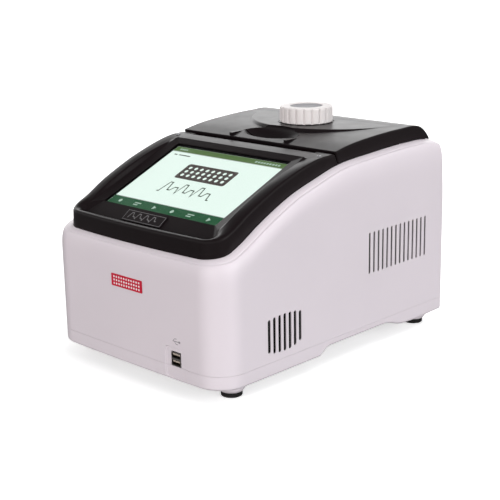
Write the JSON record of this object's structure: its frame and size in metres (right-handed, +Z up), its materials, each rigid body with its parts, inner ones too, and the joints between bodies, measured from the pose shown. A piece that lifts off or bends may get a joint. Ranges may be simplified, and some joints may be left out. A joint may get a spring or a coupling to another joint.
{
  "type": "thermal cycler",
  "caption": "Bench-top thermal cycler with a tilted touch screen, a hinged lid with a finger-bowl latch, a screw-down heated lid knob, side vents and a front data socket.",
  "frame": {"origin": "middle of the footprint, on the plane of the four foot soles", "axes": "+Z up, +Y towards the back of the instrument, so the screen and label face -Y; +X is the right-hand side seen from the front"},
  "size_m": [0.27, 0.377, 0.261],
  "materials": {
    "case_white": "fine satin moulded plastic, very light warm white",
    "top_black": "satin black moulded plastic",
    "badge": "black plate with a silver line border",
    "label_red": null,
    "foot_rubber": "black rubber",
    "glass": "touch panel cover glass",
    "screen": "lit display, pale mint with green bars",
    "circuit_board": "green solder mask",
    "steel": "plain zinc-plated steel",
    "aluminium": "anodised aluminium",
    "brass": "turned brass",
    "knob_white": "warm white satin plastic",
    "knob_grey": "matt grey plastic",
    "ceramic": "white alumina plates",
    "inner_black": "black moulded plastic"
  },
  "bodies": {
    "root": {"base_tray": "case_white", "housing_shell": "case_white", "display_bezel": "top_black", "top_deck": "top_black", "badge_plate": "badge", "front_label": "label_red", "foot_front_left": "foot_rubber", "foot_front_right": "foot_rubber", "foot_rear_left": "foot_rubber", "foot_rear_right": "foot_rubber", "block_seal": "foot_rubber", "touch_glass": "glass", "lcd_panel": "screen", "display_board": "circuit_board", "main_board": "circuit_board", "usb_board": "circuit_board", "bezel_screw_left": "steel", "bezel_screw_right": "steel", "hinge_bracket_left": "steel", "hinge_bracket_right": "steel", "hinge_pin_left": "steel", "hinge_pin_right": "steel", "latch_strike": "steel", "chassis_left": "steel", "chassis_right": "steel", "rear_panel": "steel", "power_supply": "steel", "supply_shelf": "steel", "usb_port": "steel", "sample_block": "aluminium", "heatsink": "aluminium", "thermo_module_1": "ceramic", "thermo_module_2": "ceramic", "thermo_module_3": "ceramic", "thermo_module_4": "ceramic", "thermo_module_5": "ceramic", "thermo_module_6": "ceramic", "fan_frame_left": "inner_black", "fan_frame_right": "inner_black", "power_inlet": "inner_black", "switch_body": "inner_black"},
    "lid": {"lid_cover": "top_black", "lid_liner": "top_black", "hinge_arm_left": "steel", "hinge_arm_right": "steel", "screw_bush": "brass", "handle_pin_left": "steel", "handle_pin_right": "steel"},
    "handle": {"lid_handle": "top_black", "latch_hook": "steel"},
    "lid_knob": {"knob": "knob_white", "knob_cap": "knob_grey", "lead_screw": "steel"},
    "press_plate": {"heated_plate": "aluminium", "plate_carrier": "steel", "guide_pin_left": "steel", "guide_pin_right": "steel"},
    "rotor_left": {"fan_rotor_left": "inner_black"},
    "rotor_right": {"fan_rotor_right": "inner_black"},
    "rocker": {"power_rocker": "inner_black"}
  },
  "joints": [
    {"name": "lid_hinge", "type": "hinge", "parent": "root", "child": "lid", "pos_m": [0, 0.157, 0.2195], "axis": [-1, 0, 0], "range_deg": [0, 70]},
    {"name": "handle_pivot", "type": "hinge", "parent": "lid", "child": "handle", "pos_m": [0, 0.0295, 0.2285], "axis": [-1, 0, 0], "range_deg": [0, 12], "stiffness_Nm_per_rad": 0.6, "springref_deg": -8.59},
    {"name": "knob_turn", "type": "hinge", "parent": "lid", "child": "lid_knob", "pos_m": [0, 0.0955, 0.2424], "axis": [0, 0, -1], "range_deg": [0, 720]},
    {"name": "plate_travel", "type": "slide", "parent": "lid", "child": "press_plate", "axis": [0, 0, -1], "range_m": [0, 0.008]},
    {"name": "fan_spin_left", "type": "hinge", "parent": "root", "child": "rotor_left", "pos_m": [-0.052, 0.1692, 0.118], "axis": [0, 1, 0], "continuous": true},
    {"name": "fan_spin_right", "type": "hinge", "parent": "root", "child": "rotor_right", "pos_m": [0.052, 0.1692, 0.118], "axis": [0, 1, 0], "continuous": true},
    {"name": "power_switch", "type": "hinge", "parent": "root", "child": "rocker", "pos_m": [-0.034, 0.1801, 0.06], "axis": [0, 0, 1], "range_deg": [-24, 0]}
  ],
  "couplings": [
    {"joint": "plate_travel", "follows": "knob_turn", "m_per_rad": 0.00063662}
  ]
}
